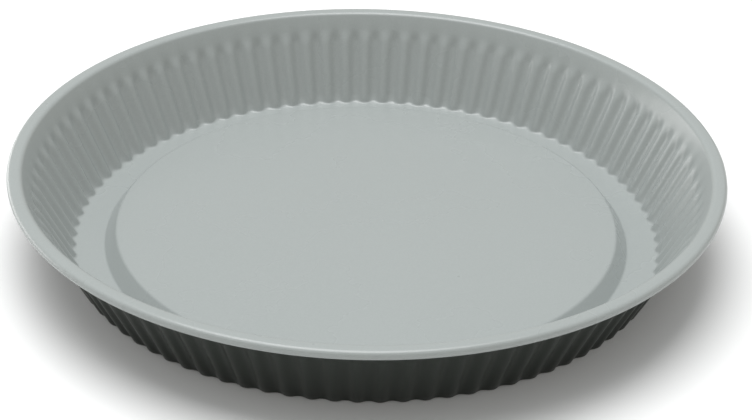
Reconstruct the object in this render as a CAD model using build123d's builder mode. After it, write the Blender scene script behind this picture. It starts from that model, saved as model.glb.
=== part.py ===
from build123d import *
from math import asin, atan2, cos, degrees, hypot, radians, sin, tan
import os

# Fluted fruit flan tin: one sheet of steel, pressed and fluted, with its edge curled over a wire.
# The origin is the centre of the plane that the tin stands on, and +Z is its axis.
# Lengths are in millimetres and angles in degrees.

# The sheet and the wired edge
rim_diameter = 280.0
overall_height = 37.0
sheet_gauge = 0.5
wire_diameter = 2.5
wire_clearance = 0.05
wire_end_gap = 1.0
curl_sweep = 285.0

# The flange between the wall and the wired edge, with its bend measured on the upper face
flange_flat = 2.45
flange_bend_radius = 2.2

# The wall, with its foot measured where the inside would meet the floor
foot_diameter = 232.2
foot_bend_radius = 1.8

# The flutes, which run out under a smooth band below the rim and fade over the bend at the foot,
# down to a share of their depth where the bend meets the ring
flute_count = 90
flute_depth = 1.6
foot_depth_share = 0.3
smooth_band_height = 6.0
flute_runout = 6.0

# The ring that the tin stands on and the raised centre, measured on the upper face
ring_width = 11.8
step_run = 4.7
plateau_rise = 6.45
step_bend_radius = 1.2

# How far across the ring the raised centre is joined to the fluted cup, as a share of its width
seam_share = 0.5

# The curl, level with the top of the flange, and the wire's seat in it
curl_bore_radius = wire_diameter / 2 + wire_clearance
curl_radius = curl_bore_radius + sheet_gauge
curl_centre = (rim_diameter / 2 - curl_radius, overall_height - curl_radius)

# The flange bends about a centre under it
flange_centre = (curl_centre[0] - flange_flat, overall_height - flange_bend_radius)

# The inside of the wall is the line from the foot's corner that touches the flange bend
foot_corner = (foot_diameter / 2, sheet_gauge)
corner_to_centre = (flange_centre[0] - foot_corner[0], flange_centre[1] - foot_corner[1])
sight_angle = atan2(corner_to_centre[1], corner_to_centre[0])
touch_angle = asin(flange_bend_radius / hypot(*corner_to_centre))
wall_angle = degrees(sight_angle + touch_angle)
level_gauge = sheet_gauge / sin(radians(wall_angle))

# The foot bends about a centre inside the tin, from the ring up into the wall
foot_setback = foot_bend_radius * tan(radians(wall_angle / 2))
foot_centre = (foot_corner[0] - foot_setback, sheet_gauge + foot_bend_radius)

# Each flute's part of the full turn, and the heights between which the flutes run out
flute_turn = 360 / flute_count
runout_top = overall_height - smooth_band_height
runout_bottom = runout_top - flute_runout

# The step up to the raised centre, and the seam in the ring outside it
step_foot_radius = foot_corner[0] - ring_width
plateau_radius = step_foot_radius - step_run
plateau_height = sheet_gauge + plateau_rise
seam_radius = step_foot_radius + seam_share * ring_width


# Radius of the smooth wall's inside at a height
def wall_radius(height):
    return foot_corner[0] + (height - foot_corner[1]) / tan(radians(wall_angle))


# Mean radius, height and flute depth of each section up one face of the wall
def wall_sections(bend_radius, level_offset):
    bend_out = bend_radius * sin(radians(wall_angle))
    bend_down = bend_radius * cos(radians(wall_angle))
    return [
        (foot_centre[0], foot_centre[1] - bend_radius, foot_depth_share * flute_depth),
        (foot_centre[0] + bend_out, foot_centre[1] - bend_down, flute_depth),
        (wall_radius(runout_bottom) + level_offset, runout_bottom, flute_depth),
        (wall_radius(runout_top) + level_offset, runout_top, 0),
    ]


# Start, crest, middle, valley and end of one flute of a closed wave
def flute_points(number, mean_radius, depth):
    points = []
    for quarter, rise in enumerate((0, depth / 2, 0, -depth / 2, 0)):
        turn = (number + quarter / 4) * flute_turn
        points.append(Vector(mean_radius + rise, 0).rotate(Axis.Z, turn))
    return points


os.makedirs("parts", exist_ok=True)

# The pressed shell: fluted cup, raised centre, flange and curled edge, all one sheet
with BuildPart() as pan_shell:
    # The outside of the fluted wall, then the inside pressed into it
    faces_of_wall = (
        (foot_bend_radius + sheet_gauge, level_gauge, Mode.ADD),
        (foot_bend_radius, 0, Mode.SUBTRACT),
    )
    for bend_radius, level_offset, mode in faces_of_wall:
        for radius, height, depth in wall_sections(bend_radius, level_offset):
            with BuildSketch(Plane.XY.offset(height)):
                if depth > 0:
                    with BuildLine():
                        for number in range(flute_count):
                            start, crest, middle, valley, end = flute_points(number, radius, depth)
                            ThreePointArc(start, crest, middle)
                            ThreePointArc(middle, valley, end)
                    make_face()
                else:
                    Circle(radius)
        loft(ruled=True, mode=mode)

    # The middle of the floor gives way to the raised centre and its step
    with BuildSketch(Plane.XY):
        Circle(seam_radius)
    extrude(amount=sheet_gauge, mode=Mode.SUBTRACT)
    with BuildSketch(Plane.XZ):
        with BuildLine():
            FilletPolyline(
                (0, plateau_height),
                (plateau_radius, plateau_height),
                (step_foot_radius, sheet_gauge),
                (seam_radius, sheet_gauge),
                radius=[step_bend_radius + sheet_gauge, step_bend_radius],
            )
            offset(amount=sheet_gauge, side=Side.RIGHT)
        make_face()
    revolve(axis=Axis.Z)

    # The smooth band, the flange and the curl, outwards from the top of the flutes
    with BuildSketch(Plane.XZ):
        with BuildLine():
            bend_over = CenterArc(flange_centre, flange_bend_radius, 90, wall_angle)
            bend_under = CenterArc(flange_centre, flange_bend_radius - sheet_gauge, 90, wall_angle)
            curl_outside = CenterArc(curl_centre, curl_radius, 90, -curl_sweep)
            curl_bore = CenterArc(curl_centre, curl_bore_radius, 90, -curl_sweep)
            band_inside = Line((wall_radius(runout_top), runout_top), bend_over @ 1)
            band_outside = Line((wall_radius(runout_top) + level_gauge, runout_top), bend_under @ 1)
            Line(bend_over @ 0, curl_outside @ 0)
            Line(bend_under @ 0, curl_bore @ 0)
            Line(curl_outside @ 1, curl_bore @ 1)
            Line(band_inside @ 0, band_outside @ 0)
        make_face()
    revolve(axis=Axis.Z)
pan_shell.part.label = "pan_shell"
export_step(pan_shell.part, "parts/pan_shell.step")

# The wire in the curl, bent into a ring with its two ends butted
with BuildPart() as rim_wire:
    with BuildSketch(Plane.XZ):
        with Locations(curl_centre):
            Circle(wire_diameter / 2)
    revolve(axis=Axis.Z, revolution_arc=360 - degrees(wire_end_gap / curl_centre[0]))
rim_wire.part.label = "rim_wire"
export_step(rim_wire.part, "parts/rim_wire.step")
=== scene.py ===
import bpy
from math import asin, atan2, cos, degrees, hypot, pi, radians, sin, tan
from mathutils import Matrix, Vector


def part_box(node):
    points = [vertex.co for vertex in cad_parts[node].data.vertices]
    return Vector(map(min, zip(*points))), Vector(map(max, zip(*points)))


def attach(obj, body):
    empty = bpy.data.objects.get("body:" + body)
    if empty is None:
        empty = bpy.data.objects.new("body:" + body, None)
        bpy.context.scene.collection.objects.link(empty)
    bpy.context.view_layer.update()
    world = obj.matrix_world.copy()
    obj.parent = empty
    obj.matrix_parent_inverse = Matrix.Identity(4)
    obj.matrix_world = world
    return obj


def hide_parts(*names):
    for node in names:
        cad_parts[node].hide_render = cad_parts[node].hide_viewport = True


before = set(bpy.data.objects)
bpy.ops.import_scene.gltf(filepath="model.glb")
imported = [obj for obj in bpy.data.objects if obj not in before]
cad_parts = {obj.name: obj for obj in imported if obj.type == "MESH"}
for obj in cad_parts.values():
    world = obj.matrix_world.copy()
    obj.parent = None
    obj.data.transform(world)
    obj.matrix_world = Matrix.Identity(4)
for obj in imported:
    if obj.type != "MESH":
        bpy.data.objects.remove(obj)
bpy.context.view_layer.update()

# The photograph's view of the tin: metres and degrees, and pixels of its own frame
photoView = {
    "frameWidth": 752,
    "distance": 0.7676,      # from the centre of the base
    "elevation": 30.6,
    "focalPixels": 1906.9,
    "panPixels": -9.27,      # how far off the middle of the frame the base's centre lies
    "tiltPixels": 23.76,
    "roll": -1.1,
    "sensorWidth": 36.0,     # millimetres
    "clipStart": 0.01,
}


def makeCamera():
    v = photoView
    data = bpy.data.cameras.new("photoCamera")
    data.sensor_width = v["sensorWidth"]
    data.lens = v["focalPixels"] / v["frameWidth"] * v["sensorWidth"]
    data.clip_start = v["clipStart"]
    camera = bpy.data.objects.new("photoCamera", data)
    bpy.context.collection.objects.link(camera)
    lift = radians(v["elevation"])
    eye = Vector((0, -v["distance"] * cos(lift), v["distance"] * sin(lift)))
    pan = atan2(v["panPixels"], v["focalPixels"])
    tilt = atan2(v["tiltPixels"], v["focalPixels"])
    turn = Matrix.Rotation(pi / 2 - lift, 4, "X")
    turn = turn @ Matrix.Rotation(pan, 4, "Y") @ Matrix.Rotation(tilt, 4, "X")
    turn = turn @ Matrix.Rotation(-radians(v["roll"]), 4, "Z")
    camera.matrix_world = Matrix.Translation(eye) @ turn
    bpy.context.scene.camera = camera


makeCamera()
print("camera placed")


# Adds a node to a tree, sets its fields, and links or fills its inputs. An input goes by its name,
# with _ for each space, or by its number after a _
def addNode(tree, kind, fields=None, **inputs):
    node = tree.nodes.new(kind)
    for field, value in (fields or {}).items():
        setattr(node, field, value)
    for name, value in inputs.items():
        if name.startswith("_"):
            socket = node.inputs[int(name[1:])]
        else:
            socket = node.inputs[name.replace("_", " ")]
        if isinstance(value, bpy.types.NodeSocket):
            tree.links.new(value, socket)
        else:
            socket.default_value = value
    return node


# The socket of a colour between two others, by the share of the second
def mixedColour(tree, share, first, second):
    fields = {"data_type": "RGBA"}
    mix = addNode(tree, "ShaderNodeMix", fields, _0=share, _6=(*first, 1), _7=(*second, 1))
    return mix.outputs[2]


# A pale floor, a sky that grows lighter upwards, and two softboxes, in metres and watts. The low
# one, behind the tin at its left, puts the streaks on the flutes of the right wall
studio = {
    "floorSize": 6.0,
    "floorColour": (0.84, 0.84, 0.84),
    "floorRoughness": 0.9,
    "floorSpecular": 0.1,
    "floorGlow": 0.05,
    "glowColour": (1, 1, 1),
    "horizonColour": (0.30, 0.272, 0.228),    # a warm grey, which the walls see all round
    "skyColour": (0.72, 0.75, 0.76),
    "skySide": (-0.08, 0.08, 0.994),          # the direction in which the sky is lightest
    "skyFrom": 0.1,                           # cosine of the angle to there, up to which the sky
    "skyTo": 0.9,                             # has the horizon's colour, and from which its own
    "softboxes": {
        "overhead": {"place": (-0.18, 0.09, 1.70), "size": (1.3, 1.3), "power": 27.0},
        "left": {"place": (-1.05, 0.66, 0.15), "size": (1.2, 0.3), "power": 4.0},
    },
}


def makeStudio():
    s = studio
    half = s["floorSize"] / 2
    mesh = bpy.data.meshes.new("floor")
    corners = [(-half, -half, 0), (half, -half, 0), (half, half, 0), (-half, half, 0)]
    mesh.from_pydata(corners, [], [(0, 1, 2, 3)])
    floor = bpy.data.objects.new("floor", mesh)
    bpy.context.collection.objects.link(floor)
    paint = bpy.data.materials.new("palePaper")
    paint.use_nodes = True
    shader = paint.node_tree.nodes["Principled BSDF"]
    shader.inputs["Base Color"].default_value = (*s["floorColour"], 1)
    shader.inputs["Roughness"].default_value = s["floorRoughness"]
    shader.inputs["Specular IOR Level"].default_value = s["floorSpecular"]
    shader.inputs["Emission Color"].default_value = (*s["glowColour"], 1)
    shader.inputs["Emission Strength"].default_value = s["floorGlow"]
    mesh.materials.append(paint)

    for name, box in s["softboxes"].items():
        light = bpy.data.lights.new(name + "Softbox", "AREA")
        light.shape = "RECTANGLE"
        light.size, light.size_y = box["size"]
        light.energy = box["power"]
        softbox = bpy.data.objects.new(name + "Softbox", light)
        bpy.context.collection.objects.link(softbox)
        softbox.location = box["place"]
        softbox.rotation_euler = (-Vector(box["place"])).to_track_quat("-Z", "Y").to_euler()

    world = bpy.data.worlds.new("studioWorld")
    world.use_nodes = True
    tree = world.node_tree
    towards = addNode(tree, "ShaderNodeTexCoord").outputs["Generated"]
    product = {"operation": "DOT_PRODUCT"}
    side = addNode(tree, "ShaderNodeVectorMath", product, _0=towards, _1=s["skySide"])
    share = addNode(
        tree, "ShaderNodeMapRange", Value=side.outputs["Value"],
        From_Min=s["skyFrom"], From_Max=s["skyTo"],
    ).outputs[0]
    sky = mixedColour(tree, share, s["horizonColour"], s["skyColour"])
    tree.links.new(sky, tree.nodes["Background"].inputs["Color"])
    bpy.context.scene.world = world
    bpy.context.scene.view_settings.view_transform = "Standard"


makeStudio()
print("studio lit")

# Non-stick coats with fine flakes: a satin grey inside and on the rim, a dark one outside
coats = {
    "paleCoat": {
        "colour": (0.316, 0.340, 0.335),
        "flakeColour": (0.346, 0.371, 0.365),
        "roughness": 0.28,
        "specular": 0.52,
    },
    "darkCoat": {
        "colour": (0.024, 0.0285, 0.0245),
        "flakeColour": (0.030, 0.035, 0.0305),
        "roughness": 0.32,
        "specular": 0.2,
    },
}

# What both coats share, with scales per metre and the height in metres
coatGrain = {
    "flakeScale": 2600.0,
    "flakeMost": 0.6,         # the largest share of the flakes' colour
    "cloudScale": 22.0,       # slow changes of roughness
    "cloudDetail": 4.0,
    "cloudFrom": 0.3,
    "cloudTo": 0.7,
    "cloudRoughness": 0.03,
    "peelScale": 900.0,       # the coat's faint orange peel
    "peelDetail": 2.0,
    "peelHeight": 0.00001,
    "peelStrength": 0.4,
}


def coatMaterial(name):
    c = coats[name]
    g = coatGrain
    material = bpy.data.materials.new(name)
    material.use_nodes = True
    tree = material.node_tree
    shader = tree.nodes["Principled BSDF"]
    place = addNode(tree, "ShaderNodeTexCoord").outputs["Object"]
    flakes = addNode(tree, "ShaderNodeTexVoronoi", Vector=place, Scale=g["flakeScale"])
    spread = addNode(tree, "ShaderNodeSeparateColor", Color=flakes.outputs["Color"])
    share = addNode(
        tree, "ShaderNodeMapRange", Value=spread.outputs["Red"],
        From_Min=0.0, From_Max=1.0, To_Min=0.0, To_Max=g["flakeMost"],
    ).outputs[0]
    colour = mixedColour(tree, share, c["colour"], c["flakeColour"])
    tree.links.new(colour, shader.inputs["Base Color"])

    clouds = addNode(
        tree, "ShaderNodeTexNoise", Vector=place, Scale=g["cloudScale"], Detail=g["cloudDetail"],
    )
    rough = addNode(
        tree, "ShaderNodeMapRange", Value=clouds.outputs["Fac"],
        From_Min=g["cloudFrom"], From_Max=g["cloudTo"],
        To_Min=c["roughness"] - g["cloudRoughness"], To_Max=c["roughness"] + g["cloudRoughness"],
    )
    tree.links.new(rough.outputs[0], shader.inputs["Roughness"])
    shader.inputs["Specular IOR Level"].default_value = c["specular"]

    peel = addNode(
        tree, "ShaderNodeTexNoise", Vector=place, Scale=g["peelScale"], Detail=g["peelDetail"],
    )
    bump = addNode(
        tree, "ShaderNodeBump", Strength=g["peelStrength"], Distance=g["peelHeight"],
        Height=peel.outputs["Fac"],
    )
    tree.links.new(bump.outputs[0], shader.inputs["Normal"])
    return material


# Drawn steel: the wire, and the sheet's cut edge in the curl
steel = {
    "darkColour": (0.42, 0.42, 0.41),
    "lightColour": (0.60, 0.60, 0.58),
    "grainScale": 1500.0,
    "grainDetail": 3.0,
    "metallic": 1.0,
    "roughness": 0.38,
}


def steelMaterial(name):
    s = steel
    material = bpy.data.materials.new(name)
    material.use_nodes = True
    tree = material.node_tree
    shader = tree.nodes["Principled BSDF"]
    place = addNode(tree, "ShaderNodeTexCoord").outputs["Object"]
    grain = addNode(
        tree, "ShaderNodeTexNoise", Vector=place, Scale=s["grainScale"], Detail=s["grainDetail"],
    )
    colour = mixedColour(tree, grain.outputs["Fac"], s["darkColour"], s["lightColour"])
    tree.links.new(colour, shader.inputs["Base Color"])
    shader.inputs["Metallic"].default_value = s["metallic"]
    shader.inputs["Roughness"].default_value = s["roughness"]
    return material


paleCoat = coatMaterial("paleCoat")
darkCoat = coatMaterial("darkCoat")
bareSteel = steelMaterial("bareSteel")
print("materials mixed")

# The pressed sheet, in metres and degrees. Its rim and height come from the frame
sheet = {
    "gauge": 0.0005,
    "curlRadius": 0.0018,
    "curlSweep": 285.0,
    "flangeFlat": 0.00245,
    "flangeBend": 0.0022,
    "footRadius": 0.1161,
    "footBend": 0.0018,
    "ringWidth": 0.0118,
    "stepRun": 0.0047,
    "plateauRise": 0.00645,
    "stepBend": 0.0012,
    "bandHeight": 0.0060,
    "runout": 0.0060,
    "sharpFrom": 50.0,
}

# Rows of mesh: how many steps each bend takes, and where the rows between the bends lie, as shares
# of the fluted wall and of the flutes' run-out
sheetRows = {
    "stepBend": 3,
    "footBend": 5,
    "wallShares": (0.12, 1.0),
    "runoutShares": (0.2, 0.4, 0.6, 0.8, 1.0),
    "flangeBend": 5,
    "upperCurl": 13,
    "lowerCurl": 7,
}

# The flutes, deepest on the wall, run out under the smooth band and grow shallow at the foot
flutes = {
    "count": 90,
    "depth": 0.0016,         # from crest to valley
    "footShare": 0.3,        # of that depth is left where the foot's bend meets the ring
    "fullness": 0.037,       # how much rounder than a sine the lobes are
    "columns": 14,           # columns of mesh in each flute, laid astride its flanks
}


# Points along an arc, from one angle to another, both ends included
def arcPoints(centre, radius, fromAngle, toAngle, steps):
    points = []
    for step in range(steps + 1):
        angle = radians(fromAngle + (toAngle - fromAngle) * step / steps)
        points.append((centre[0] + radius * cos(angle), centre[1] + radius * sin(angle)))
    return points


# Radius of the inside of the smooth wall at a height
def wallRadius(height, wallAngle):
    return sheet["footRadius"] + (height - sheet["gauge"]) / tan(radians(wallAngle))


# Falls softly from 1 to 0 as the share of the way goes from 0 to 1
def softFade(share):
    return 1 - share * share * (3 - 2 * share)


# The section of the sheet from the axis out over its upper face and back along its lower one.
# Each row is radius, height, share of the flutes' depth and side: 0 upper, 1 lower
def sheetProfile(rimRadius, rimHeight):
    s = sheet
    n = sheetRows
    g = s["gauge"]

    # Centres of the bends, and the slopes of the wall and of the step
    curl = (rimRadius - s["curlRadius"], rimHeight - s["curlRadius"])
    flange = (curl[0] - s["flangeFlat"], rimHeight - s["flangeBend"])
    out, up = flange[0] - s["footRadius"], flange[1] - g
    wallAngle = degrees(atan2(up, out) + asin(s["flangeBend"] / hypot(out, up)))
    foot = (s["footRadius"] - s["footBend"] * tan(radians(wallAngle / 2)), g + s["footBend"])
    stepFoot = s["footRadius"] - s["ringWidth"]
    plateau = stepFoot - s["stepRun"]
    plateauTop = g + s["plateauRise"]
    slope = degrees(atan2(s["plateauRise"], s["stepRun"]))
    setback = tan(radians(slope / 2))
    crown = (plateau - (s["stepBend"] + g) * setback, plateauTop - s["stepBend"] - g)
    heel = (stepFoot + s["stepBend"] * setback, g + s["stepBend"])
    top = rimHeight - s["bandHeight"]
    bottom = top - s["runout"]

    # The rows of one side, from the axis outwards
    def face(lower):
        inset = g if lower else 0
        overStep = arcPoints(crown, s["stepBend"] + g - inset, 90, 90 - slope, n["stepBend"])
        underStep = arcPoints(heel, s["stepBend"] + inset, 270 - slope, 270, n["stepBend"])
        rows = [(0, plateauTop - inset, 0)]
        rows += [(r, z, 0) for r, z in overStep + underStep]
        bend = arcPoints(foot, s["footBend"] + inset, 270, 270 + wallAngle, n["footBend"])
        for step, (r, z) in enumerate(bend):
            deepening = (1 - flutes["footShare"]) * step / n["footBend"]
            rows.append((r, z, flutes["footShare"] + deepening))
        levelInset = inset / sin(radians(wallAngle))
        for share in n["wallShares"]:
            z = bend[-1][1] + share * (bottom - bend[-1][1])
            rows.append((wallRadius(z, wallAngle) + levelInset, z, 1))
        for share in n["runoutShares"]:
            z = bottom + share * s["runout"]
            rows.append((wallRadius(z, wallAngle) + levelInset, z, softFade(share)))
        over = arcPoints(flange, s["flangeBend"] - inset, 90 + wallAngle, 90, n["flangeBend"])
        rows += [(r, z, 0) for r, z in over]
        rows += [(curl[0], rimHeight - inset, 0)]
        steps = n["lowerCurl"] if lower else n["upperCurl"]
        around = arcPoints(curl, s["curlRadius"] - inset, 90, 90 - s["curlSweep"], steps)
        rows += [(r, z, 0) for r, z in around[1:]]
        return [(r, z, fluting, int(lower)) for r, z, fluting in rows]

    return face(False) + face(True)[::-1]


# Points this close become one, as those on the axis and at the turn's seam do. A face's side is
# the mean of its points', so the cut edge lies between the upper side's 0 and the lower side's 1
pressing = {
    "mergeDistance": 0.000002,
    "cutEdgeFrom": 0.25,
    "lowerCoatFrom": 0.75,
}


# Nodes that turn the section round the axis and press the flutes into it
def pressingTree():
    p = pressing
    tree = bpy.data.node_groups.new("pressAndFlute", "GeometryNodeTree")
    face = tree.interface
    face.new_socket("Geometry", in_out="INPUT", socket_type="NodeSocketGeometry")
    for name, kind in (
        ("Flutes", "NodeSocketInt"), ("Columns", "NodeSocketInt"),
        ("Flute Depth", "NodeSocketFloat"), ("Fullness", "NodeSocketFloat"),
        ("Upper Coat", "NodeSocketMaterial"), ("Lower Coat", "NodeSocketMaterial"),
        ("Cut Edge", "NodeSocketMaterial"),
    ):
        face.new_socket(name, in_out="INPUT", socket_type=kind)
    face.new_socket("Geometry", in_out="OUTPUT", socket_type="NodeSocketGeometry")

    given = addNode(tree, "NodeGroupInput").outputs

    def calc(operation, first, second=0.0):
        fields = {"operation": operation}
        return addNode(tree, "ShaderNodeMath", fields, _0=first, _1=second).outputs[0]

    # A grid with a column for each place round the tin and a row for each point of the section.
    # The half keeps the division clear of rounding
    section = given["Geometry"]
    rows = addNode(tree, "GeometryNodeAttributeDomainSize", Geometry=section).outputs["Point Count"]
    around = calc("MULTIPLY", given["Flutes"], given["Columns"])
    sheetGrid = addNode(
        tree, "GeometryNodeMeshGrid", Size_X=1.0, Size_Y=1.0,
        Vertices_X=calc("ADD", around, 1.0), Vertices_Y=rows,
    ).outputs["Mesh"]
    index = addNode(tree, "GeometryNodeInputIndex").outputs[0]
    row = calc("FLOORED_MODULO", index, rows)
    column = calc("FLOOR", calc("DIVIDE", calc("ADD", index, 0.5), rows))

    def sampled(kind, value):
        fields = {"data_type": kind, "domain": "POINT"}
        return addNode(
            tree, "GeometryNodeSampleIndex", fields, Geometry=section, Value=value, Index=row,
        ).outputs["Value"]

    def named(attribute):
        fields = {"data_type": "FLOAT"}
        return addNode(tree, "GeometryNodeInputNamedAttribute", fields, Name=attribute).outputs[0]

    place = sampled("FLOAT_VECTOR", addNode(tree, "GeometryNodeInputPosition").outputs[0])
    place = addNode(tree, "ShaderNodeSeparateXYZ", Vector=place).outputs

    # Each flute is a sine with some of its third harmonic, which makes the lobes rounder. The
    # columns start half a step on, so that they lie astride the flanks
    angle = calc("MULTIPLY", calc("DIVIDE", calc("ADD", column, 0.5), around), 2 * pi)
    phase = calc("MULTIPLY", angle, given["Flutes"])
    third = calc("MULTIPLY", calc("SINE", calc("MULTIPLY", phase, 3.0)), given["Fullness"])
    lobes = calc("ADD", calc("SINE", phase), third)
    push = calc("MULTIPLY", calc("MULTIPLY", lobes, given["Flute Depth"]), 0.5)
    radius = calc("ADD", place["X"], calc("MULTIPLY", push, sampled("FLOAT", named("fluting"))))
    spot = addNode(
        tree, "ShaderNodeCombineXYZ", X=calc("MULTIPLY", radius, calc("COSINE", angle)),
        Y=calc("MULTIPLY", radius, calc("SINE", angle)), Z=place["Z"],
    ).outputs[0]
    pressed = addNode(tree, "GeometryNodeSetPosition", Geometry=sheetGrid, Position=spot).outputs[0]
    pressed = addNode(
        tree, "GeometryNodeStoreNamedAttribute", {"data_type": "FLOAT", "domain": "POINT"},
        Geometry=pressed, Name="lowerFace", Value=sampled("FLOAT", named("lowerFace")),
    ).outputs[0]
    closed = addNode(
        tree, "GeometryNodeMergeByDistance", Geometry=pressed, Distance=p["mergeDistance"],
    ).outputs[0]
    whole = addNode(tree, "GeometryNodeRealizeInstances", Geometry=closed).outputs[0]
    smooth = addNode(tree, "GeometryNodeSetShadeSmooth", Geometry=whole).outputs[0]
    side = named("lowerFace")

    def above(limit):
        fields = {"data_type": "FLOAT", "operation": "GREATER_THAN"}
        return addNode(tree, "FunctionNodeCompare", fields, _0=side, _1=limit).outputs[0]

    coated = addNode(
        tree, "GeometryNodeSetMaterial", Geometry=smooth, Material=given["Upper Coat"],
    ).outputs[0]
    coated = addNode(
        tree, "GeometryNodeSetMaterial", Geometry=coated,
        Selection=above(p["cutEdgeFrom"]), Material=given["Cut Edge"],
    ).outputs[0]
    coated = addNode(
        tree, "GeometryNodeSetMaterial", Geometry=coated,
        Selection=above(p["lowerCoatFrom"]), Material=given["Lower Coat"],
    ).outputs[0]
    result = addNode(tree, "NodeGroupOutput")
    tree.links.new(coated, result.inputs[0])
    return tree


# The pressed sheet, with the rim and height of the CAD solid that it stands in for
def makeShell():
    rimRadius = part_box("pan_shell")[1][0]
    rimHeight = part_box("pan_shell")[1][2]
    rows = sheetProfile(rimRadius, rimHeight)
    section = bpy.data.meshes.new("sheetSection")
    section.from_pydata(
        [(r, 0, z) for r, z, fluting, lower in rows],
        [(i, i + 1) for i in range(len(rows) - 1)], [],
    )
    for name, place in (("fluting", 2), ("lowerFace", 3)):
        attribute = section.attributes.new(name, "FLOAT", "POINT")
        attribute.data.foreach_set("value", [row[place] for row in rows])
    shell = bpy.data.objects.new("flutedShell", section)
    bpy.context.collection.objects.link(shell)
    modifier = shell.modifiers.new("pressAndFlute", "NODES")
    modifier.node_group = pressingTree()
    values = {
        "Flutes": flutes["count"],
        "Columns": flutes["columns"],
        "Flute Depth": flutes["depth"],
        "Fullness": flutes["fullness"],
        "Upper Coat": paleCoat,
        "Lower Coat": darkCoat,
        "Cut Edge": bareSteel,
    }
    for item in modifier.node_group.interface.items_tree:
        if item.in_out == "INPUT" and item.name in values:
            modifier[item.identifier] = values[item.name]
    graph = bpy.context.evaluated_depsgraph_get()
    pressed = bpy.data.meshes.new_from_object(shell.evaluated_get(graph))
    shell.modifiers.remove(modifier)
    shell.data = pressed
    pressed.set_sharp_from_angle(angle=radians(sheet["sharpFrom"]))
    return shell


shell = makeShell()
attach(shell, "root")
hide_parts("pan_shell")
print("shell pressed:", len(shell.data.polygons), "faces")

# The wire keeps its CAD shape and gets its metal
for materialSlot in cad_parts["rim_wire"].material_slots:
    materialSlot.material = bareSteel
print("wire dressed")
